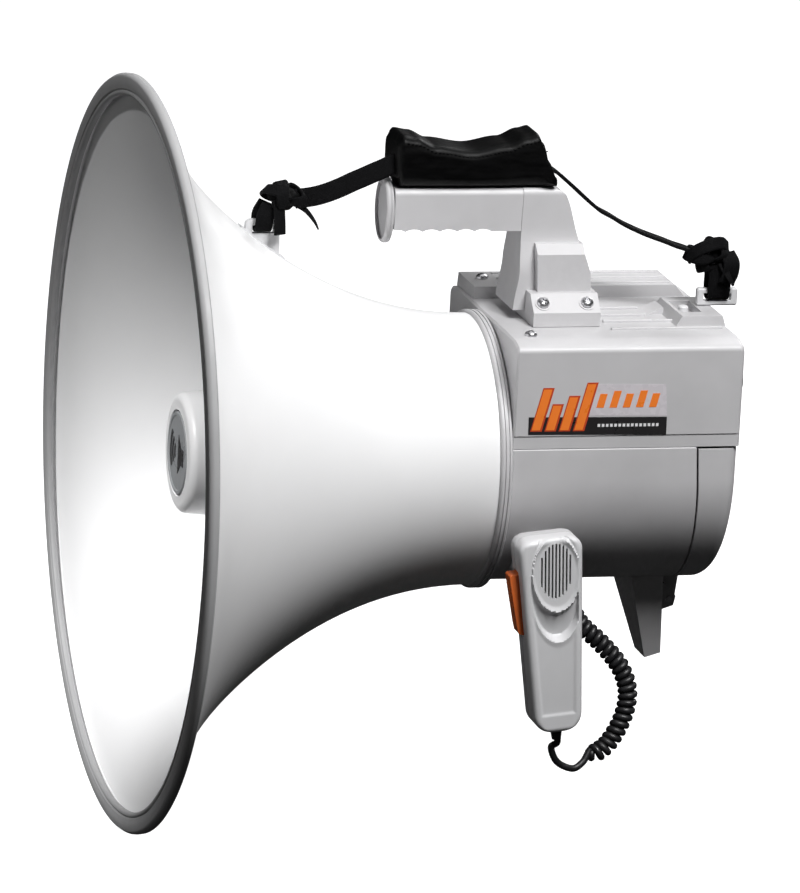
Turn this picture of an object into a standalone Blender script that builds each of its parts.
"""A handheld megaphone with a fist microphone, as separate solids.

Units are metres. The horn's axis runs along +X, from the mouth to the rear, +Z is up,
and the microphone hangs on the -Y side. Every place below is measured from the point
where the horn's axis meets the plane of the mouth. The root empty lifts all of it by
AXIS_HEIGHT, so the origin is a point at the bottom of the rim's flat front face.
"""

import math

import bmesh
import bpy
from mathutils import Matrix, Vector

# ---------------------------------------------------------------- driving dimensions
GAP = 0.0003                      # clearance between neighbouring solids
AXIS_HEIGHT = 0.2245              # horn axis above the origin

RIM_RADIUS = 0.2283
RIM_INNER_RADIUS = 0.2150
RIM_DEPTH = 0.0065
LIP_FRONT_X = 0.0036              # the bell's front edge, inside the rim's groove
LIP_X = 0.0080                    # where the bell's flare begins
LIP_RADIUS = 0.2195
NECK_X = 0.2135                   # where the bell ends
NECK_RADIUS = 0.0825
BELL_POWER = 2.08                 # how quickly the flare narrows
LIP_POWER = 16                    # how quickly the extra flare at the lip fades
LIP_SHARE = 0.17                  # the part of the flare that is at the lip
BELL_WALL = 0.0022
HORN_SEGMENTS = 48

CUP_FRONT_X = 0.0340              # the reflector cup on the horn's axis
CUP_RADIUS = 0.0365
CUP_REAR_X = 0.1100
CUP_REAR_RADIUS = 0.0430
BADGE_RADIUS = 0.0250
ARM_FRONT_X = 0.0620
ARM_REAR_X = 0.2195

BODY_FRONT_X = 0.2202
BODY_REAR_X = 0.3619
BODY_HALF_WIDTH = 0.0796
BODY_TOP = 0.0850
SPLIT_Z = 0.0200                  # where the upper and lower casings meet
BODY_WALL = 0.0025
SEAM_X = 0.3350                   # front edge of the battery cover at the split
SEAM_SLOPE = 0.062                # how far the seam leans back per unit of depth
SPIGOT_HOLE_RADIUS = 0.0300

RAIL = ((0.2225, 0.3500), (0.0340, 0.0730), 0.0925)      # x span, y span, top
BLOCK = ((0.3285, 0.3605), (-0.0410, 0.0080), 0.0912)
POCKET = ((0.3350, 0.3480), (-0.0300, -0.0020), 0.0860)

HINGE_X = 0.3450                  # battery cover's hinge, across the body
HINGE_Z = -0.0950
HINGE_PIN_RADIUS = 0.0020
FOOT_Z = -0.1300
FOOT_HALF_WIDTH = 0.0110
FLOOR_SLOPE = (RIM_RADIUS + FOOT_Z) / 0.336   # floor's rise per unit of X when it stands

HANDLE_TOP = 0.1650
GRIP_BOTTOM = 0.1385
GRIP_FRONT_X = 0.1575
GRIP_HALF_WIDTH = 0.0145
POST_FRONT_X = 0.2365
POST_HALF_WIDTH = 0.0200
BASE_HALF_WIDTH = 0.0400
SCALLOPS = 5
SCALLOP_PITCH = 0.0107
FIRST_TIP_X = 0.1646              # the front end of the first full finger scallop
GUARD_THICKNESS = 0.0048
BOSS_TOP = 0.1318
BOSS_HALF_WIDTH = 0.0255
FLANGE_X = (0.2400, 0.2818)       # the handle's foot on the body

MIC_TOP = (0.2374, -0.0265)       # x and z of the microphone's top centre
MIC_LEAN = math.radians(5.7)
MIC_LENGTH = 0.1210
MIC_TOP_WIDTH = 0.0400
MIC_BOTTOM_WIDTH = 0.0290
MIC_BACK_Y = -0.0895
MIC_SPLIT_Y = -0.1000
MIC_FRONT_Y = -0.1135
MIC_WALL = 0.0020
PTT_TOP_Z = -0.0220               # in the microphone's own frame
PTT_BOTTOM_Z = -0.0600

CELL_RADIUS = 0.0131
CELL_LENGTH = 0.0500
CELL_X = 0.2765

KNOB_Y = -0.0400
KNOB_Z = 0.0520
SWITCH_Y = 0.0030
JACK_Y = 0.0420

ROOT_NAME = "megaphone"


# ---------------------------------------------------------------- scene and materials
def clear_scene():
    for old in list(bpy.data.objects):
        bpy.data.objects.remove(old, do_unlink=True)


MATERIALS = {
    "bell_white": ((0.90, 0.90, 0.90), 0.45, 0.0),
    "rim_grey": ((0.30, 0.30, 0.31), 0.60, 0.0),
    "case_grey": ((0.62, 0.62, 0.63), 0.50, 0.0),
    "cap_grey": ((0.78, 0.78, 0.79), 0.45, 0.0),
    "badge_grey": ((0.50, 0.51, 0.52), 0.35, 0.0),
    "black_plastic": ((0.03, 0.03, 0.03), 0.50, 0.0),
    "orange_plastic": ((0.90, 0.28, 0.05), 0.45, 0.0),
    "steel": ((0.70, 0.70, 0.72), 0.30, 1.0),
    "strap_black": ((0.015, 0.015, 0.016), 0.85, 0.0),
    "pad_black": ((0.02, 0.02, 0.02), 0.65, 0.0),
    "cord_black": ((0.02, 0.02, 0.02), 0.45, 0.0),
    "magnet": ((0.12, 0.12, 0.13), 0.60, 0.4),
    "diaphragm": ((0.75, 0.72, 0.65), 0.40, 0.0),
    "cell_sleeve": ((0.10, 0.25, 0.45), 0.35, 0.2),
    "circuit_green": ((0.05, 0.25, 0.12), 0.45, 0.0),
    "aluminium": ((0.75, 0.76, 0.77), 0.35, 1.0),
}


def material(slot):
    found = bpy.data.materials.get(slot)
    if found:
        return found
    colour, roughness, metallic = MATERIALS[slot]
    made = bpy.data.materials.new(slot)
    made.use_nodes = True
    shader = made.node_tree.nodes["Principled BSDF"]
    shader.inputs["Base Color"].default_value = (*colour, 1.0)
    shader.inputs["Roughness"].default_value = roughness
    shader.inputs["Metallic"].default_value = metallic
    return made


def make_root():
    root = bpy.data.objects.new(ROOT_NAME, None)
    root.location = (0.0, 0.0, AXIS_HEIGHT)
    bpy.context.scene.collection.objects.link(root)
    return root


def finish(name, bm, slot, location=(0.0, 0.0, 0.0), rotation=(0.0, 0.0, 0.0), parent=None):
    """Turn a bmesh into a named object under its parent, with smooth round faces."""
    bmesh.ops.remove_doubles(bm, verts=bm.verts, dist=1e-6)
    bmesh.ops.recalc_face_normals(bm, faces=bm.faces)
    mesh = bpy.data.meshes.new(name)
    bm.to_mesh(mesh)
    bm.free()
    if slot:
        mesh.materials.append(material(slot))
    mesh.shade_smooth()
    mesh.set_sharp_from_angle(angle=math.radians(35))
    made = bpy.data.objects.new(name, mesh)
    made.location = location
    made.rotation_euler = rotation
    made.parent = parent or bpy.data.objects[ROOT_NAME]
    bpy.context.scene.collection.objects.link(made)
    return made


def hide_cutter(cutter):
    cutter.hide_render = True
    cutter.display_type = "WIRE"
    return cutter


def combine(target, other, operation="DIFFERENCE"):
    """Cut another object out of the target, or join it on, and hide that other object."""
    hide_cutter(other)
    boolean = target.modifiers.new(other.name, "BOOLEAN")
    boolean.operation = operation
    boolean.object = other
    boolean.solver = "EXACT"


# ---------------------------------------------------------------- shape builders
def turned(profile, segments=24, closed=True):
    """Spin an outline of (x, radius) points about the X axis, with a flat facet at the bottom."""
    bm = bmesh.new()
    verts = [bm.verts.new((x, 0.0, -r)) for x, r in profile]
    pairs = list(zip(verts, verts[1:]))
    if closed:
        pairs.append((verts[-1], verts[0]))
    edges = [bm.edges.new(pair) for pair in pairs]
    half_facet = Matrix.Rotation(math.pi / segments, 4, "X")
    bmesh.ops.transform(bm, matrix=half_facet, verts=bm.verts)
    bmesh.ops.spin(bm, geom=verts + edges, cent=(0, 0, 0), axis=(1, 0, 0),
                   angle=math.tau, steps=segments, use_merge=True)
    return bm


def cylinder(radius, length, segments=16, axis="X", at=(0.0, 0.0, 0.0), far_radius=None):
    """A cylinder or cone from a point along an axis."""
    bm = bmesh.new()
    bmesh.ops.create_cone(bm, cap_ends=True, segments=segments, radius1=radius,
                          radius2=radius if far_radius is None else far_radius, depth=length)
    bmesh.ops.translate(bm, verts=bm.verts, vec=(0, 0, length / 2))
    turn = {"X": Matrix.Rotation(math.pi / 2, 4, "Y"),
            "Y": Matrix.Rotation(-math.pi / 2, 4, "X"),
            "Z": Matrix.Identity(4)}[axis]
    bmesh.ops.transform(bm, matrix=Matrix.Translation(at) @ turn, verts=bm.verts)
    return bm


def box(xs, ys, zs, bevel=0.0, segments=1):
    """A box between three spans, with all its edges bevelled if asked."""
    bm = bmesh.new()
    bmesh.ops.create_cube(bm, size=1.0)
    size = Vector((xs[1] - xs[0], ys[1] - ys[0], zs[1] - zs[0]))
    middle = Vector((sum(xs) / 2, sum(ys) / 2, sum(zs) / 2))
    bmesh.ops.scale(bm, vec=size, verts=bm.verts)
    bmesh.ops.translate(bm, vec=middle, verts=bm.verts)
    if bevel:
        bmesh.ops.bevel(bm, geom=bm.edges, offset=bevel, segments=segments,
                        affect="EDGES", profile=0.5)
    return bm


def extruded(outline, span, axis="Y"):
    """Extrude a flat outline along an axis. The outline holds the other two coordinates."""
    bm = bmesh.new()
    place = {"X": lambda a, b, t: (t, a, b),
             "Y": lambda a, b, t: (a, t, b),
             "Z": lambda a, b, t: (a, b, t)}[axis]
    face = bm.faces.new([bm.verts.new(place(a, b, span[0])) for a, b in outline])
    grown = bmesh.ops.extrude_face_region(bm, geom=[face])["geom"]
    moved = [g for g in grown if isinstance(g, bmesh.types.BMVert)]
    shift = Vector(place(0.0, 0.0, span[1])) - Vector(place(0.0, 0.0, span[0]))
    bmesh.ops.translate(bm, vec=shift, verts=moved)
    bmesh.ops.recalc_face_normals(bm, faces=bm.faces)
    return bm


def bevel_where(bm, test, offset, segments=2):
    """Bevel the edges whose two ends both pass a test."""
    chosen = [e for e in bm.edges if all(test(v.co) for v in e.verts)]
    bmesh.ops.bevel(bm, geom=chosen, offset=offset, segments=segments, affect="EDGES", profile=0.5)


def arc(centre, radius, start, end, steps):
    """Points of a circular arc, with angles in degrees from the first axis."""
    angles = [math.radians(start + (end - start) * n / steps) for n in range(steps + 1)]
    return [(centre[0] + radius * math.cos(a), centre[1] + radius * math.sin(a)) for a in angles]


def rounded_outline(corners, radius, steps=3):
    """An outline whose corners are rounded, each with the same radius."""
    points = []
    count = len(corners)
    for n, corner in enumerate(corners):
        here = Vector(corner)
        before = (Vector(corners[n - 1]) - here).normalized()
        after = (Vector(corners[(n + 1) % count]) - here).normalized()
        for s in range(steps + 1):
            t = s / steps
            a = here + before * radius * (1 - t) ** 2
            points.append(tuple(a + after * radius * t ** 2))
    return points


def smooth_path(points, steps=4):
    """A Catmull-Rom path through the points."""
    knots = [Vector(p) for p in points]
    knots = [2 * knots[0] - knots[1], *knots, 2 * knots[-1] - knots[-2]]
    path = []
    for a, b, c, d in zip(knots, knots[1:], knots[2:], knots[3:]):
        for s in range(steps):
            t = s / steps
            path.append(0.5 * (2 * b + (c - a) * t + (2 * a - 5 * b + 4 * c - d) * t * t
                               + (3 * b - a - 3 * c + d) * t ** 3))
    return [*path, knots[-2]]


def swept(path, section, side):
    """Sweep a closed section of (across, over) points along a path, with capped ends.

    side gives the direction that the section's first coordinate keeps to.
    """
    bm = bmesh.new()
    rings = []
    for n, here in enumerate(path):
        ahead = path[min(n + 1, len(path) - 1)] - path[max(n - 1, 0)]
        along = ahead.normalized()
        across = Vector(side) - along * along.dot(Vector(side))
        across.normalize()
        over = along.cross(across)
        rings.append([bm.verts.new(here + across * a + over * b) for a, b in section])
    count = len(section)
    for first, second in zip(rings, rings[1:]):
        for n in range(count):
            m = (n + 1) % count
            bm.faces.new((first[n], first[m], second[m], second[n]))
    bm.faces.new(rings[0])
    bm.faces.new(rings[-1])
    return bm


def round_section(radius, count=8):
    return arc((0.0, 0.0), radius, 0, 360 - 360 / count, count - 1)


def webbing_section(width, thickness):
    half, thin = width / 2, thickness / 2
    edge = thin * 0.6
    return [(-half, -thin + edge), (-half + edge, -thin), (half - edge, -thin), (half, -thin + edge),
            (half, thin - edge), (half - edge, thin), (-half + edge, thin), (-half, thin - edge)]


# ---------------------------------------------------------------- horn
def bell_radius(x):
    """Outer radius of the bell at a distance x behind the mouth."""
    left = 1 - (x - LIP_X) / (NECK_X - LIP_X)
    flare = (1 - LIP_SHARE) * left ** BELL_POWER + LIP_SHARE * left ** LIP_POWER
    return NECK_RADIUS + (LIP_RADIUS - NECK_RADIUS) * flare


def bell_slope(x):
    step = 1e-5
    return (bell_radius(x) - bell_radius(x - step)) / step


def bell_inner_point(x):
    """The point one wall thickness inside the bell's outer surface."""
    slope = bell_slope(x)
    scale = BELL_WALL / math.hypot(1.0, slope)
    return x + slope * scale, bell_radius(x) - scale


def make_bell():
    rings = 10
    spacing = [LIP_X + (NECK_X - LIP_X) * (n / rings) ** 1.6 for n in range(rings + 1)]
    outer = [(LIP_FRONT_X, LIP_RADIUS + 0.0008)] + [(x, bell_radius(x)) for x in spacing]
    back = NECK_X - BELL_WALL
    inner = [bell_inner_point(x) for x in spacing[1:-1]]
    hub = 0.0300
    floor = [(NECK_X, hub), (back, hub), (back, NECK_RADIUS - 0.010),
             (back - 0.004, NECK_RADIUS - 0.0040)]
    lip = [(LIP_X - 0.001, LIP_RADIUS - BELL_WALL), (LIP_FRONT_X, LIP_RADIUS - BELL_WALL + 0.0008)]
    profile = outer + floor + inner[::-1] + lip
    return finish("horn_bell", turned(profile, HORN_SEGMENTS), "bell_white")


def make_rim():
    """A moulded trim ring whose rear groove takes the bell's lip."""
    outer, inner, back = RIM_RADIUS, RIM_INNER_RADIUS, RIM_DEPTH
    groove_out = LIP_RADIUS + 0.0008 + 2 * GAP
    groove_in = LIP_RADIUS - BELL_WALL - 2 * GAP
    groove_x = LIP_FRONT_X - 2 * GAP
    lip_back = groove_x + 0.0018
    profile = [(0.0, inner + 0.0015), (0.0, outer - 0.0022), (0.0014, outer - 0.0006),
               (0.0034, outer), (back - 0.0012, outer), (back, outer - 0.0018), (back, groove_out),
               (groove_x, groove_out), (groove_x, groove_in), (lip_back, groove_in),
               (lip_back, inner + 0.0004), (0.0025, inner)]
    return finish("rim_trim", turned(profile, HORN_SEGMENTS), "rim_grey")


def make_neck_ring():
    front, back = NECK_X + GAP, BODY_FRONT_X - GAP
    profile = [(front, 0.0620), (front, 0.0830), (front + 0.001, 0.0840), (back, 0.0840),
               (back, 0.0620)]
    return finish("neck_ring", turned(profile, HORN_SEGMENTS), "rim_grey")


def make_reflector():
    wall = 0.0025
    edge = 0.0050
    front_edge = arc((CUP_FRONT_X + edge, CUP_RADIUS - edge), edge, 180, 90, 3)
    recess = CUP_FRONT_X + 0.0012
    profile = [(recess, 0.0), (recess, BADGE_RADIUS + GAP), (CUP_FRONT_X, BADGE_RADIUS + GAP),
               *front_edge, (CUP_REAR_X, CUP_REAR_RADIUS), (CUP_REAR_X, CUP_REAR_RADIUS - wall),
               (CUP_FRONT_X + 0.012, CUP_RADIUS - wall), (CUP_FRONT_X + 0.005, CUP_RADIUS - 0.010),
               (CUP_FRONT_X + 0.0045, 0.0)]
    finish("reflector_cup", turned(profile, 32, closed=False), "bell_white")
    badge_back = recess - GAP
    badge_front = CUP_FRONT_X - 0.0008
    badge = [(badge_front, 0.0), (badge_front, BADGE_RADIUS - 0.0008),
             (badge_front + 0.0006, BADGE_RADIUS), (badge_back, BADGE_RADIUS), (badge_back, 0.0)]
    finish("nose_badge", turned(badge, 32, closed=False), "badge_grey")


def arm_radius(x):
    """Outer radius of the tone arm."""
    t = (x - ARM_FRONT_X) / (ARM_REAR_X - ARM_FRONT_X)
    return 0.0270 - 0.0110 * t


def cup_inner_radius(x):
    t = (x - CUP_FRONT_X) / (CUP_REAR_X - CUP_FRONT_X)
    return CUP_RADIUS + (CUP_REAR_RADIUS - CUP_RADIUS) * t - 0.0025


def make_tone_arm():
    wall = 0.0025
    flange_front = NECK_X + GAP
    profile = [(ARM_FRONT_X, arm_radius(ARM_FRONT_X)), (flange_front, arm_radius(flange_front)),
               (flange_front, 0.0480), (ARM_REAR_X, 0.0480),
               (ARM_REAR_X, arm_radius(ARM_REAR_X) - wall),
               (ARM_FRONT_X, arm_radius(ARM_FRONT_X) - wall)]
    finish("tone_arm", turned(profile, 24), "case_grey")
    front, back = 0.0700, 0.1040
    for n in range(3):
        corners = [(front, arm_radius(front) + 2 * GAP), (back, arm_radius(front) + 2 * GAP),
                   (back, cup_inner_radius(front) - 4 * GAP), (front, cup_inner_radius(front) - 4 * GAP)]
        strut = extruded(corners, (-0.0012, 0.0012))
        finish(f"reflector_strut_{n + 1}", strut, "case_grey", rotation=(math.tau * n / 3, 0, 0))


def make_driver():
    front = BODY_FRONT_X + BODY_WALL + GAP
    spigot = 0.0270
    throat = 0.0135
    flange = [(BODY_FRONT_X, throat), (BODY_FRONT_X, spigot), (front, spigot), (front, 0.0520),
              (front + 0.006, 0.0520), (front + 0.006, throat)]
    finish("driver_flange", turned(flange, 24), "aluminium")
    rear = front + 0.006 + GAP
    dome = [(rear + 0.0016 + 0.0070 * math.sin(a), 0.0240 * math.cos(a))
            for a in (math.radians(d) for d in (0, 25, 50, 70, 90))]
    under = [(x - 0.0008, r * 0.98) for x, r in dome]
    skirt = [(rear + 0.0016, 0.0280), (rear, 0.0280), (rear, under[0][1])]
    cone = [*dome[::-1], *skirt, *under]
    finish("diaphragm", turned(cone, 24, closed=False), "diaphragm")
    magnet_front = rear + 0.0115
    magnet_back = magnet_front + 0.0190
    magnet = [(magnet_front, 0.0200), (magnet_front, 0.0480), (magnet_back, 0.0480),
              (magnet_back, 0.0200)]
    finish("driver_magnet", turned(magnet, 24), "magnet")
    plate = magnet_back + GAP
    back_plate = [(magnet_front, 0.0), (magnet_front, 0.0165), (plate, 0.0165), (plate, 0.0480),
                  (plate + 0.0070, 0.0480), (plate + 0.0070, 0.0)]
    finish("driver_back_plate", turned(back_plate, 24, closed=False), "steel")


def make_front_lug():
    """A slotted plate that stands on top of the bell."""
    front, back = 0.0690, 0.0905
    steps = 4
    xs = [front + (back - front) * n / steps for n in range(steps + 1)]
    foot = [(x, bell_radius(x) + 2 * GAP) for x in xs]
    outline = [*foot, (back, bell_radius(back) + 0.006), (0.0890, 0.1425), (0.0725, 0.1440),
               (front, 0.1415)]
    lug = finish("strap_lug_front", extruded(outline, (-0.0022, 0.0022)), "cap_grey")
    slot = finish("lug_slot", box((0.0733, 0.0867), (-0.010, 0.010), (0.1356, 0.1404)), None)
    combine(lug, slot)


# ---------------------------------------------------------------- casings
def lower_outline(shrink=0.0, top=SPLIT_Z - GAP):
    """Half-round section of the lower casing, as (y, z) points."""
    radius = BODY_HALF_WIDTH - shrink
    return [(radius, top), *arc((0.0, 0.0), radius, 0, -180, 16), (-radius, top)]


def upper_outline(shrink=0.0, bottom=SPLIT_Z):
    """Section of the upper casing, as (y, z) points."""
    half = BODY_HALF_WIDTH - shrink
    top = BODY_TOP - shrink
    side = [(half, bottom), (half, top - 0.0065), (half - 0.0012, top - 0.0035),
            (half - 0.0042, top - 0.0015), (half - 0.0180, top)]
    return side + [(-y, z) for y, z in side[::-1]]


def lean_seam(bm, x):
    """Lean the faces at a station along X into the battery cover's seam."""
    for vert in bm.verts:
        if abs(vert.co.x - x) < 1e-5:
            vert.co.x += SEAM_SLOPE * (SPLIT_Z - vert.co.z)


def make_upper_case():
    shell = extruded(upper_outline(), (BODY_FRONT_X, BODY_REAR_X), "X")
    bevel_where(shell, lambda v: v.x > BODY_REAR_X - 1e-5 and v.z > SPLIT_Z + 1e-5, 0.0018, 1)
    case = finish("upper_case", shell, "case_grey")
    rail_x, rail_y, rail_top = RAIL
    rail = box(rail_x, rail_y, (BODY_TOP - 0.0012, rail_top))
    bevel_where(rail, lambda v: v.z > rail_top - 1e-5, 0.0015, 2)
    combine(case, finish("rail_shape", rail, None), "UNION")
    block_x, block_y, block_top = BLOCK
    slope = 0.0045
    sides = [(block_x[0], BODY_TOP - 0.0012), (block_x[1], BODY_TOP - 0.0012),
             (block_x[1] - slope / 2, block_top), (block_x[0] + slope, block_top)]
    combine(case, finish("block_shape", extruded(sides, block_y), None), "UNION")
    pocket_x, pocket_y, pocket_floor = POCKET
    pocket = box(pocket_x, pocket_y, (pocket_floor, block_top + 0.002))
    combine(case, finish("pocket_shape", pocket, None))
    hollow = extruded(upper_outline(BODY_WALL, SPLIT_Z - 0.005),
                      (BODY_FRONT_X + BODY_WALL, BODY_REAR_X - BODY_WALL), "X")
    combine(case, finish("upper_hollow", hollow, None))
    window = box((BODY_REAR_X - 0.010, BODY_REAR_X + 0.010), (-0.0600, 0.0600), (0.0300, 0.0740))
    combine(case, finish("panel_window", window, None))
    combine(case, bpy.data.objects["spigot_hole"])
    combine(case, bpy.data.objects["case_screw_holes"])
    combine(case, bpy.data.objects["split_groove"])


def make_lower_case():
    shell = extruded(lower_outline(), (BODY_FRONT_X, SEAM_X), "X")
    lean_seam(shell, SEAM_X)
    case = finish("lower_case", shell, "case_grey")
    hollow = extruded(lower_outline(BODY_WALL, SPLIT_Z + 0.005),
                      (BODY_FRONT_X + BODY_WALL, SEAM_X + 0.030), "X")
    combine(case, finish("lower_hollow", hollow, None))
    combine(case, bpy.data.objects["spigot_hole"])


def make_battery_cover():
    """The rear cap of the lower casing, with an arm that reaches down to its hinge."""
    front = SEAM_X + 2 * GAP
    shell = extruded(lower_outline(top=SPLIT_Z - 5 * GAP), (front, BODY_REAR_X), "X")
    bevel_where(shell, lambda v: v.x > BODY_REAR_X - 1e-5 and v.z < SPLIT_Z - 0.003, 0.0060, 3)
    lean_seam(shell, front)
    pivot = bpy.data.objects["cover_pivot"]
    here = -Vector(pivot.location)
    cover = finish("battery_cover", shell, "case_grey", location=here, parent=pivot)
    hollow = extruded(lower_outline(BODY_WALL, SPLIT_Z + 0.005),
                      (SEAM_X - 0.030, BODY_REAR_X - BODY_WALL), "X")
    combine(cover, finish("cover_hollow", hollow, None))
    arm_top = -BODY_HALF_WIDTH + 0.0015
    arm = [(SEAM_X + 0.0068, arm_top), (SEAM_X + 0.0165, arm_top), (HINGE_X + 0.0046, HINGE_Z - 0.0005),
           (HINGE_X + 0.0020, HINGE_Z - 0.0042), (HINGE_X - 0.0020, HINGE_Z - 0.0042),
           (HINGE_X - 0.0042, HINGE_Z)]
    combine(cover, finish("arm_shape", extruded(arm, (-0.0050, 0.0050)), None), "UNION")
    bore = cylinder(HINGE_PIN_RADIUS + GAP, 0.030, 16, "Y", (HINGE_X, -0.015, HINGE_Z))
    combine(cover, finish("arm_bore", bore, None))
    slide = box((BODY_REAR_X - 0.006, BODY_REAR_X + 0.006), (-0.0125, 0.0125), (0.0020, 0.0150))
    combine(cover, finish("latch_window", slide, None))


def make_cover_latch():
    """A sprung slide in the cover's rear wall, with a finger rib."""
    parent = bpy.data.objects["cover_pivot"]
    outline = [(0.3560, 0.0060), (0.3590, 0.0060), (0.3590, 0.0065), (0.3622, 0.0065), (0.3622, 0.0075),
               (0.3642, 0.0085), (0.3642, 0.0105), (0.3622, 0.0115), (0.3622, 0.0125),
               (0.3590, 0.0125), (0.3590, 0.0150), (0.3560, 0.0150)]
    latch = extruded(outline, (-0.0110, 0.0110))
    finish("cover_latch", latch, "black_plastic", location=-Vector(parent.location), parent=parent)


def make_stand_leg():
    """A tapered leg under the rear of the body, with two ears for the cover's hinge pin."""
    top = -0.0700
    front_top, rear_top, wide = 0.3130, 0.3345, 0.0285
    front_foot, rear_foot = 0.3310, 0.3410
    bm = bmesh.new()
    upper = [(front_top, -wide), (rear_top, -wide), (rear_top, wide), (front_top, wide)]
    lower = [(front_foot, -FOOT_HALF_WIDTH), (rear_foot, -FOOT_HALF_WIDTH),
             (rear_foot, FOOT_HALF_WIDTH), (front_foot, FOOT_HALF_WIDTH)]
    a = [bm.verts.new((x, y, top)) for x, y in upper]
    b = [bm.verts.new((x, y, FLOOR_SLOPE * x - RIM_RADIUS)) for x, y in lower]
    bm.faces.new(a)
    bm.faces.new(b)
    for n in range(4):
        m = (n + 1) % 4
        bm.faces.new((a[n], a[m], b[m], b[n]))
    leg = finish("stand_leg", bm, "case_grey")
    for name, side in (("ear_near", -1), ("ear_far", 1)):
        ear = [(0.3300, HINGE_Z + 0.0100), (HINGE_X - 0.0030, HINGE_Z + 0.0100),
               (HINGE_X + 0.0042, HINGE_Z + 0.0020), (HINGE_X + 0.0030, HINGE_Z - 0.0040),
               (0.3300, HINGE_Z - 0.0100)]
        span = sorted((side * 0.0054, side * 0.0092))
        combine(leg, finish(name, extruded(ear, span), None), "UNION")
    skin = cylinder(BODY_HALF_WIDTH + GAP, 0.060, 48, "X", (0.300, 0.0, 0.0))
    combine(leg, finish("body_skin", skin, None))
    bore = cylinder(HINGE_PIN_RADIUS + GAP / 3, 0.030, 16, "Y", (HINGE_X, -0.015, HINGE_Z))
    combine(leg, finish("ear_bore", bore, None))
    pin = cylinder(HINGE_PIN_RADIUS, 0.0196, 16, "Y", (HINGE_X, -0.0098, HINGE_Z))
    finish("cover_hinge_pin", pin, "steel")


def make_shared_cutters():
    """Cutters that more than one casing uses. They exist before the casings do."""
    hole = cylinder(SPIGOT_HOLE_RADIUS, 0.010, 24, "X", (BODY_FRONT_X - 0.003, 0.0, 0.0))
    hide_cutter(finish("spigot_hole", hole, None))
    screws = bmesh.new()
    for x, y in CASE_SCREWS:
        matrix = Matrix.Translation((x, y, 0.085))
        bmesh.ops.create_cone(screws, cap_ends=True, segments=12, radius1=0.0019, radius2=0.0019,
                              depth=0.030, matrix=matrix)
    hide_cutter(finish("case_screw_holes", screws, None))
    groove = bmesh.new()
    for side in (-1, 1):
        matrix = Matrix.LocRotScale(Vector((0.291, side * (BODY_HALF_WIDTH + 0.002), 0.0282)), None,
                                    Vector((0.160, 0.0052, 0.0012)))
        bmesh.ops.create_cube(groove, size=1.0, matrix=matrix)
    hide_cutter(finish("split_groove", groove, None))
    pivot = bpy.data.objects.new("cover_pivot", None)
    pivot.location = (HINGE_X, 0.0, HINGE_Z)
    pivot.parent = bpy.data.objects[ROOT_NAME]
    bpy.context.scene.collection.objects.link(pivot)


# ---------------------------------------------------------------- inside the body
def make_batteries():
    wall = 0.0015
    ys = (-0.0425, 0.0425)
    zs = (-0.0565, 0.0010)
    xs = (CELL_X - 0.0030, CELL_X + CELL_LENGTH + 0.0030)
    tray = finish("battery_tray", box(xs, ys, zs), "black_plastic")
    hollow = box((xs[0] + wall, xs[1] - wall), (ys[0] + wall, ys[1] - wall), (zs[0] + wall, 0.010))
    combine(tray, finish("tray_hollow", hollow, None))
    count = 0
    for z in (-0.0138, -0.0408):
        for y in (-0.0270, 0.0, 0.0270):
            count += 1
            body, cap = CELL_LENGTH - 0.0015, CELL_LENGTH
            profile = [(0.0, 0.0), (0.0, CELL_RADIUS), (body, CELL_RADIUS), (body, 0.0035),
                       (cap, 0.0035), (cap, 0.0)]
            cell = turned(profile, 16, closed=False)
            finish(f"cell_{count}", cell, "cell_sleeve", location=(CELL_X, y, z))


def make_electronics():
    board_z = 0.0540
    board = box((0.2260, 0.3360), (-0.0650, 0.0650), (board_z, board_z + 0.0016))
    finish("circuit_board", board, "circuit_green")
    fins = 5
    pitch = 0.0100
    base = board_z + 0.0016 + GAP
    outline = [(-0.0240, base)]
    outline.append((0.0240, base))
    for n in range(fins - 1, -1, -1):
        middle = (n - (fins - 1) / 2) * pitch
        edge = 0.0040 if n in (0, fins - 1) else 0.0012
        right = 0.0240 if n == fins - 1 else middle + edge
        left = -0.0240 if n == 0 else middle - edge
        floor = base + 0.0040
        if n < fins - 1:
            outline.append((right, floor))
        outline += [(right, floor + 0.0180), (left, floor + 0.0180)]
        if n > 0:
            outline.append((left, floor))
    sink = extruded(outline, (0.2350, 0.2700), "X")
    finish("heat_sink", sink, "aluminium")


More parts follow.
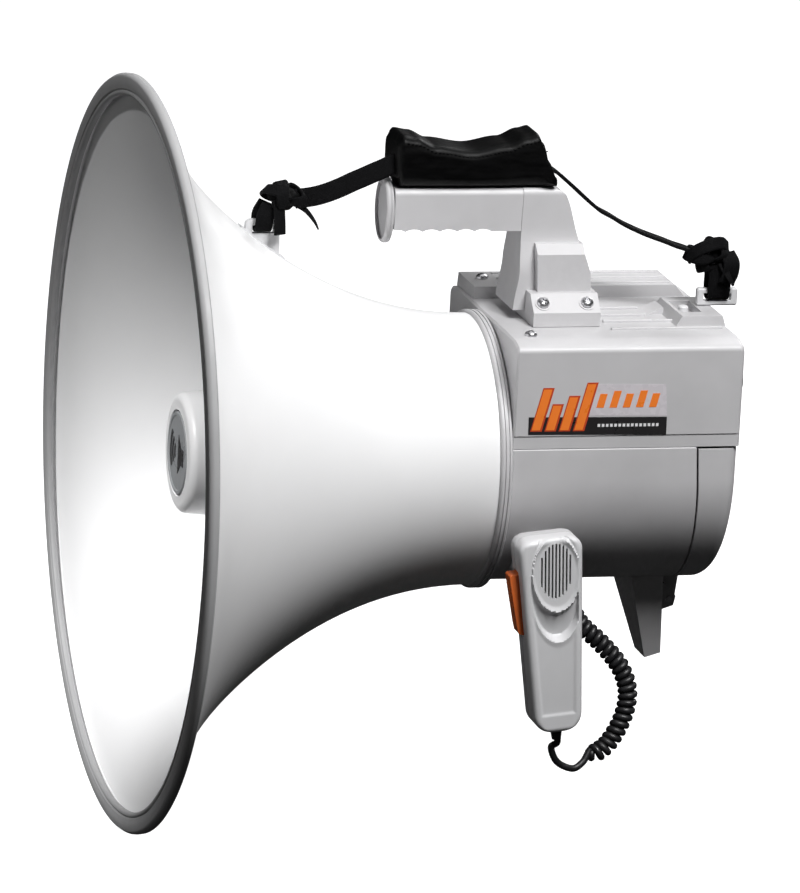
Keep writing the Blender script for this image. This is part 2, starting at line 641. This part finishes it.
def make_rear_panel():
    panel_front = BODY_REAR_X - 0.0020
    panel_back = BODY_REAR_X - 0.0002
    panel = finish("rear_panel", box((panel_front, panel_back), (-0.0600 + GAP, 0.0600 - GAP),
                                     (0.0300 + GAP, 0.0740 - GAP)), "black_plastic")
    shaft_hole = cylinder(0.0040, 0.020, 16, "X", (panel_front - 0.010, KNOB_Y, KNOB_Z))
    combine(panel, finish("shaft_hole", shaft_hole, None))
    rocker_hole = box((panel_front - 0.01, panel_back + 0.01), (SWITCH_Y - 0.0072, SWITCH_Y + 0.0072),
                      (KNOB_Z - 0.0112, KNOB_Z + 0.0112))
    combine(panel, finish("rocker_hole", rocker_hole, None))
    jack_hole = cylinder(0.0053, 0.020, 16, "X", (panel_front - 0.010, JACK_Y, KNOB_Z))
    combine(panel, finish("jack_hole", jack_hole, None))

    pot = [(0.3430, 0.0), (0.3430, 0.0080), (panel_front - GAP, 0.0080), (panel_front - GAP, 0.0030),
           (0.3680, 0.0030), (0.3680, 0.0)]
    finish("volume_pot", turned(pot, 16, closed=False), "steel", location=(0.0, KNOB_Y, KNOB_Z))
    start = BODY_REAR_X + 2 * GAP
    knob = [(0.3712, 0.0), (0.3712, 0.0090), (0.3700, 0.0105), (start, 0.0115), (start, 0.0035),
            (0.3686, 0.0035), (0.3686, 0.0)]
    finish("volume_knob", turned(knob, 20, closed=False), "black_plastic",
           location=(0.0, KNOB_Y, KNOB_Z))

    rocker = [(-0.0060, -0.0060), (0.0012, -0.0100), (0.0038, -0.0098), (0.0020, 0.0), (0.0050, 0.0098),
              (0.0024, 0.0100), (-0.0060, 0.0060)]
    finish("siren_switch", extruded(rocker, (-0.0066, 0.0066)), "orange_plastic",
           location=(panel_back - 0.0005, SWITCH_Y, KNOB_Z))

    jack = [(0.3480, 0.0), (0.3480, 0.0050), (BODY_REAR_X + 0.0008, 0.0050),
            (BODY_REAR_X + 0.0008, 0.0019), (0.3530, 0.0019), (0.3530, 0.0)]
    finish("dc_jack", turned(jack, 16, closed=False), "black_plastic", location=(0.0, JACK_Y, KNOB_Z))


def make_rear_strap_bar():
    """A rectangular eye that stands on the rear block, with its long side along the body."""
    xs, zs = (0.3490, 0.3745), (BLOCK[2] + GAP, 0.1022)
    middle = -0.0140
    bar = finish("strap_bar_rear", box(xs, (middle - 0.0022, middle + 0.0022), zs, 0.0008), "cap_grey")
    hole = box((xs[0] + 0.0040, xs[1] - 0.0040), (middle - 0.010, middle + 0.010),
               (zs[0] + 0.0030, zs[1] - 0.0030))
    combine(bar, finish("bar_hole", hole, None))


# ---------------------------------------------------------------- handle
HANDLE_SCREWS = [(x, side) for side in (-1, 1) for x in (0.2468, 0.2742)]
HANDLE_SCREW_Y = 0.0352
HANDLE_SCREW_Z = 0.0988
CASE_SCREWS = [(0.2335, -0.0590), (0.2335, 0.0560)]


def grip_outline():
    """Side view of the grip, with finger scallops under it."""
    scallops = []
    for n in range(SCALLOPS):
        start = FIRST_TIP_X + n * SCALLOP_PITCH
        for t, dip in ((0.0, 0.0), (0.25, 0.0011), (0.5, 0.0015), (0.75, 0.0011)):
            scallops.append((start + t * SCALLOP_PITCH, GRIP_BOTTOM + dip))
    end = FIRST_TIP_X + SCALLOPS * SCALLOP_PITCH
    top = HANDLE_TOP - 0.0002
    return [(GRIP_FRONT_X, GRIP_BOTTOM + 0.0013), (FIRST_TIP_X - 0.0025, GRIP_BOTTOM + 0.0011), *scallops,
            (end, GRIP_BOTTOM), (0.2450, GRIP_BOTTOM), (0.2450, top), (GRIP_FRONT_X, top)]


def post_outline():
    """Side view of the post that carries the grip."""
    below = BODY_TOP + 0.0060
    return [(POST_FRONT_X + 0.0005, HANDLE_TOP), (POST_FRONT_X, 0.1400),
            (POST_FRONT_X - 0.0010, 0.1150), (POST_FRONT_X - 0.0040, below), (0.2805, below),
            (0.2775, 0.1150), (0.2702, 0.1400), (0.2652, 0.1570), (0.2612, 0.1628),
            (0.2545, HANDLE_TOP)]


def screw_direction(side):
    return Vector((0.0, side, 1.0)).normalized()


def make_handle():
    post = extruded(post_outline(), (-POST_HALF_WIDTH, POST_HALF_WIDTH))
    bevel_where(post, lambda v: v.z > HANDLE_TOP - 0.001, 0.0045, 2)
    handle = finish("handle_body", post, "case_grey")
    grip = extruded(grip_outline(), (-GRIP_HALF_WIDTH, GRIP_HALF_WIDTH))
    bevel_where(grip, lambda v: v.z > HANDLE_TOP - 0.001, 0.0045, 2)
    combine(handle, finish("grip_shape", grip, None), "UNION")

    side_view = [(0.2465, 0.0900), (0.2800, 0.0900), (0.2782, 0.1150), (0.2742, BOSS_TOP),
                 (0.2445, BOSS_TOP)]
    boss = extruded(side_view, (-BOSS_HALF_WIDTH, BOSS_HALF_WIDTH))
    ledges = [e for e in boss.edges if all(v.co.z > BOSS_TOP - 1e-5 for v in e.verts)
              and abs(e.verts[0].co.y - e.verts[1].co.y) < 1e-5]
    bmesh.ops.bevel(boss, geom=ledges, offset=0.0056, segments=1, affect="EDGES", profile=0.5)
    combine(handle, finish("boss_shape", boss, None), "UNION")

    low = BODY_TOP + GAP
    flange = [(-BASE_HALF_WIDTH, low), (BASE_HALF_WIDTH - 0.0075, low),
              (BASE_HALF_WIDTH - 0.0075, low + 0.0085), (0.0240, 0.1035), (-0.0300, 0.1035),
              (-BASE_HALF_WIDTH, low + 0.0085)]
    plate = extruded(flange, FLANGE_X, "X")
    combine(handle, finish("flange_shape", plate, None), "UNION")
    holes = bmesh.new()
    for x, side in HANDLE_SCREWS:
        along = screw_direction(side)
        turn = along.to_track_quat("Z", "Y")
        centre = screw_seat(x, side) - along * 0.0040
        matrix = Matrix.LocRotScale(centre, turn, None)
        bmesh.ops.create_cone(holes, cap_ends=True, segments=12, radius1=0.0019, radius2=0.0019,
                              depth=0.0120, matrix=matrix)
    combine(handle, finish("handle_screw_holes", holes, None))


def screw_seat(x, side):
    """Where a handle screw's head meets the flange's sloping face."""
    if side < 0:
        return Vector((x, -HANDLE_SCREW_Y, HANDLE_SCREW_Z))
    return Vector((x, HANDLE_SCREW_Y - 0.0066, HANDLE_SCREW_Z))


def make_guard():
    """The oval flange that closes the front end of the grip."""
    back = GRIP_FRONT_X - GAP
    middle = (HANDLE_TOP + GRIP_BOTTOM) / 2 - 0.0025
    outline = [(0.0160 * math.cos(a), middle + 0.0202 * math.sin(a))
               for a in (math.tau * n / 24 for n in range(24))]
    guard = extruded(outline, (back - GUARD_THICKNESS, back), "X")
    bevel_where(guard, lambda v: v.x < back - GUARD_THICKNESS + 1e-5, 0.0022, 2)
    finish("grip_guard", guard, "case_grey")


def make_screw_mesh():
    profile = [(-0.0075, 0.0), (-0.0075, 0.0016), (GAP, 0.0016), (GAP, 0.0037), (0.0014, 0.0037),
               (0.0026, 0.0026), (0.0030, 0.0)]
    return turned(profile, 12, closed=False)


def make_screws():
    for n, (x, side) in enumerate(HANDLE_SCREWS):
        along = screw_direction(side)
        turn = along.to_track_quat("X", "Z").to_euler()
        finish(f"handle_screw_{n + 1}", make_screw_mesh(), "steel", location=screw_seat(x, side),
               rotation=turn)
    tops = (BODY_TOP, RAIL[2])
    for n, ((x, y), top) in enumerate(zip(CASE_SCREWS, tops)):
        lift = GAP if n == 0 else 0.0
        finish(f"case_screw_{n + 1}", make_screw_mesh(), "steel", location=(x, y, top + lift),
               rotation=(0.0, -math.pi / 2, 0.0))


# ---------------------------------------------------------------- strap
STRAP_WIDTH = 0.0140
STRAP_THICKNESS = 0.0024


def make_shoulder_pad():
    """A saddle-shaped pad on top of the grip, high at both ends."""
    low = HANDLE_TOP + GAP
    outline = [(0.1608, low), (0.2570, low), (0.2590, 0.1700), (0.2570, 0.1800), (0.2515, 0.1930),
               (0.2460, 0.1985), (0.2390, 0.1970), (0.2260, 0.1920), (0.2035, 0.1885),
               (0.1810, 0.1915), (0.1680, 0.1970), (0.1600, 0.1980), (0.1565, 0.1930),
               (0.1560, 0.1780), (0.1565, 0.1722), (0.1608, 0.1706)]
    pad = extruded(outline, (-0.0190, 0.0190))
    bmesh.ops.bevel(pad, geom=[e for e in pad.edges if abs(e.verts[0].co.y - e.verts[1].co.y) < 1e-6],
                    offset=0.0035, segments=1, affect="EDGES", profile=0.5)
    finish("shoulder_pad", pad, "pad_black")


def make_strap():
    section = webbing_section(0.0110, 0.0030)
    run = smooth_path([(0.1068, -0.0010, 0.1570), (0.1200, -0.0040, 0.1612), (0.1380, -0.0070, 0.1705),
                       (0.1528, -0.0088, 0.1776)])
    finish("strap_front", swept(run, section, (0.0, 0.25, 1.0)), "strap_black")

    knot = box((0.0790, 0.1044), (-0.0090, 0.0090), (0.1502, 0.1645), 0.0025)
    finish("strap_knot_front", knot, "strap_black")

    flat = webbing_section(STRAP_WIDTH, STRAP_THICKNESS)
    narrow = webbing_section(0.0110, STRAP_THICKNESS)
    middle = 0.0800
    loop = smooth_path([(middle + 0.0012, 0.0052, 0.1480), (middle, 0.0058, 0.1435),
                        (middle, 0.0030, 0.1384), (middle, -0.0030, 0.1384),
                        (middle, -0.0058, 0.1435), (middle + 0.0012, -0.0052, 0.1480)], 3)
    finish("strap_loop_front", swept(loop, narrow, (1.0, 0.0, 0.0)), "strap_black")

    back = smooth_path([(0.2622, 0.0, 0.1722), (0.2720, 0.0, 0.1620), (0.2890, -0.0010, 0.1482),
                        (0.3150, -0.0040, 0.1350), (0.3425, -0.0090, 0.1262)])
    finish("strap_rear", swept(back, flat, (0.0, 1.0, 0.0)), "strap_black")

    knot = box((0.3431, 0.3720), (-0.0220, -0.0050), (0.1155, 0.1300), 0.0030)
    finish("strap_knot_rear", knot, "strap_black")

    middle = 0.3618
    side = -0.0140
    loop = smooth_path([(middle - 0.001, side + 0.0050, 0.1138), (middle, side + 0.0050, 0.1050),
                        (middle, side + 0.0032, 0.0968), (middle, side - 0.0032, 0.0968),
                        (middle, side - 0.0050, 0.1050), (middle - 0.001, side - 0.0050, 0.1138)], 3)
    finish("strap_loop_rear", swept(loop, flat, (1.0, 0.0, 0.0)), "strap_black")


# ---------------------------------------------------------------- microphone
def mic_half_width(z, inset=0.0):
    t = -z / MIC_LENGTH
    return (MIC_TOP_WIDTH + (MIC_BOTTOM_WIDTH - MIC_TOP_WIDTH) * t) / 2 - inset


def mic_outline(inset=0.0):
    """Front view of the microphone in its own frame, whose origin is the top centre."""
    top, bottom = -inset, -MIC_LENGTH + inset
    corners = [(-mic_half_width(top, inset), top), (mic_half_width(top, inset), top),
               (mic_half_width(bottom, inset), bottom), (-mic_half_width(bottom, inset), bottom)]
    return rounded_outline(corners, 0.0080 - inset, 3)


def make_mic_shells(mic):
    slot = box((-0.0300, -0.0120), (-0.1060, -0.0940), (PTT_BOTTOM_Z - 0.0015, PTT_TOP_Z + 0.0015))
    slot = hide_cutter(finish("lever_slot", slot, None, parent=mic))
    for name, span, inner, edge in (
            ("mic_front_shell", (MIC_FRONT_Y, MIC_SPLIT_Y - GAP / 2),
             (MIC_FRONT_Y + MIC_WALL, MIC_SPLIT_Y + 0.004), MIC_FRONT_Y),
            ("mic_rear_shell", (MIC_SPLIT_Y + GAP / 2, MIC_BACK_Y),
             (MIC_SPLIT_Y - 0.004, MIC_BACK_Y - MIC_WALL), MIC_BACK_Y)):
        shell = extruded(mic_outline(), span)
        bevel_where(shell, lambda v, y=edge: abs(v.y - y) < 1e-5, 0.0030, 2)
        made = finish(name, shell, "cap_grey" if "front" in name else "case_grey", parent=mic)
        hollow = extruded(mic_outline(MIC_WALL + 0.0012), inner)
        combine(made, finish(f"{name}_hollow", hollow, None, parent=mic))
        combine(made, slot)
    rear = bpy.data.objects["mic_rear_shell"]
    stud = [(0.0, 0.0), (0.0, 0.0030), (0.0045, 0.0030), (0.0045, 0.0060), (0.0072, 0.0060),
            (0.0072, 0.0)]
    shape = turned([(x - 0.0008, r) for x, r in stud], 16, closed=False)
    stud = finish("stud_shape", shape, None, location=(0.0, MIC_BACK_Y, -0.0230),
                  rotation=(0.0, 0.0, math.pi / 2), parent=mic)
    combine(rear, stud, "UNION")


def make_mic():
    mic = bpy.data.objects.new("mic_frame", None)
    mic.location = (MIC_TOP[0], 0.0, MIC_TOP[1])
    mic.rotation_euler = (0.0, -MIC_LEAN, 0.0)
    mic.parent = bpy.data.objects[ROOT_NAME]
    bpy.context.scene.collection.objects.link(mic)
    make_mic_shells(mic)
    capsule = cylinder(0.0080, 0.0070, 16, "Y", (0.0020, MIC_FRONT_Y + MIC_WALL + GAP, -0.0320))
    finish("mic_capsule", capsule, "steel", parent=mic)
    switch = box((-0.0095, -0.0020), (-0.1035, -0.0965), (-0.0400, -0.0280))
    finish("ptt_switch", switch, "black_plastic", parent=mic)

    lever_x = -0.0155
    outline = [(lever_x, PTT_BOTTOM_Z), (-0.0185, PTT_BOTTOM_Z), (-0.0208, PTT_BOTTOM_Z + 0.0020),
               (-0.0242, PTT_TOP_Z - 0.0020), (-0.0236, PTT_TOP_Z), (lever_x, PTT_TOP_Z)]
    here = (lever_x, 0.0, PTT_BOTTOM_Z + 0.0015)
    outline = [(x - here[0], z - here[2]) for x, z in outline]
    lever = extruded(outline, (-0.1055, -0.0945))
    finish("ptt_lever", lever, "orange_plastic", location=here, parent=mic)
    return mic


def make_mic_holder():
    """A stand-off bracket on the lower casing. Its slot, open at the top, takes the stud."""
    stud_z = -0.0230
    lean = Matrix.Rotation(-MIC_LEAN, 4, "Y")
    place = Matrix.Translation((MIC_TOP[0], 0.0, MIC_TOP[1])) @ lean
    seat = place @ Vector((0.0, 0.0, stud_z))
    front = MIC_BACK_Y + 0.0009
    xs = (seat.x - 0.0100, seat.x + 0.0100)
    zs = (seat.z - 0.0120, seat.z + 0.0070)
    holder = finish("mic_holder", box(xs, (front, -0.0450), zs), "case_grey")
    skin = cylinder(BODY_HALF_WIDTH + GAP, 0.060, 48, "X", (0.210, 0.0, 0.0))
    combine(holder, finish("holder_skin", skin, None))
    pocket = box((seat.x - 0.0067, seat.x + 0.0067), (front + 0.0025, front + 0.0072),
                 (seat.z - 0.0067, seat.z + 0.020))
    combine(holder, finish("head_pocket", pocket, None))
    slot = box((seat.x - 0.0036, seat.x + 0.0036), (front - 0.003, front + 0.0050),
               (seat.z - 0.0036, seat.z + 0.020))
    combine(holder, finish("stem_slot", slot, None))


def make_cord():
    """The plain cord under the microphone, the coiled run's envelope, and its gland."""
    lean = Matrix.Rotation(-MIC_LEAN, 4, "Y")
    place = Matrix.Translation((MIC_TOP[0], 0.0, MIC_TOP[1])) @ lean
    start = place @ Vector((0.0015, -0.1000, -MIC_LENGTH - 2 * GAP))
    path = smooth_path([start, start + Vector((0.0006, 0.0, -0.0026)), (0.2560, -0.0990, -0.15190),
                        (0.2620, -0.0975, -0.1500), (0.2680, -0.0955, -0.1460),
                        (0.2735, -0.0930, -0.1425)], 3)
    finish("mic_cord", swept(path, round_section(0.0020), (0.0, 1.0, 0.0)), "cord_black")
    path = smooth_path([(0.2742, -0.0928, -0.1418), (0.2830, -0.0900, -0.1385),
                        (0.2935, -0.0870, -0.1352), (0.3005, -0.0840, -0.1280),
                        (0.3020, -0.0815, -0.1200), (0.2960, -0.0780, -0.1090),
                        (0.2830, -0.0740, -0.0975), (0.2690, -0.0705, -0.0860),
                        (0.2605, -0.0680, -0.0740)], 3)
    finish("coil_cord", swept(path, round_section(0.0055), (0.0, 1.0, 0.0)), "cord_black")
    outward = Vector((0.0, -0.78, -0.62)).normalized()
    seat = Vector((0.2585, 0.0, 0.0)) + outward * (BODY_HALF_WIDTH + GAP)
    turn = outward.to_track_quat("X", "Z").to_euler()
    gland = [(0.0, 0.0), (0.0, 0.0070), (0.0030, 0.0070), (0.0080, 0.0040), (0.0080, 0.0)]
    finish("cord_gland", turned(gland, 16, closed=False), "black_plastic", location=seat, rotation=turn)


def main():
    clear_scene()
    make_root()
    make_shared_cutters()
    make_bell()
    make_rim()
    make_neck_ring()
    make_reflector()
    make_tone_arm()
    make_driver()
    make_front_lug()
    make_upper_case()
    make_lower_case()
    make_battery_cover()
    make_cover_latch()
    make_stand_leg()
    make_batteries()
    make_electronics()
    make_rear_panel()
    make_rear_strap_bar()
    make_handle()
    make_guard()
    make_screws()
    make_shoulder_pad()
    make_strap()
    make_mic()
    make_mic_holder()
    make_cord()


main()
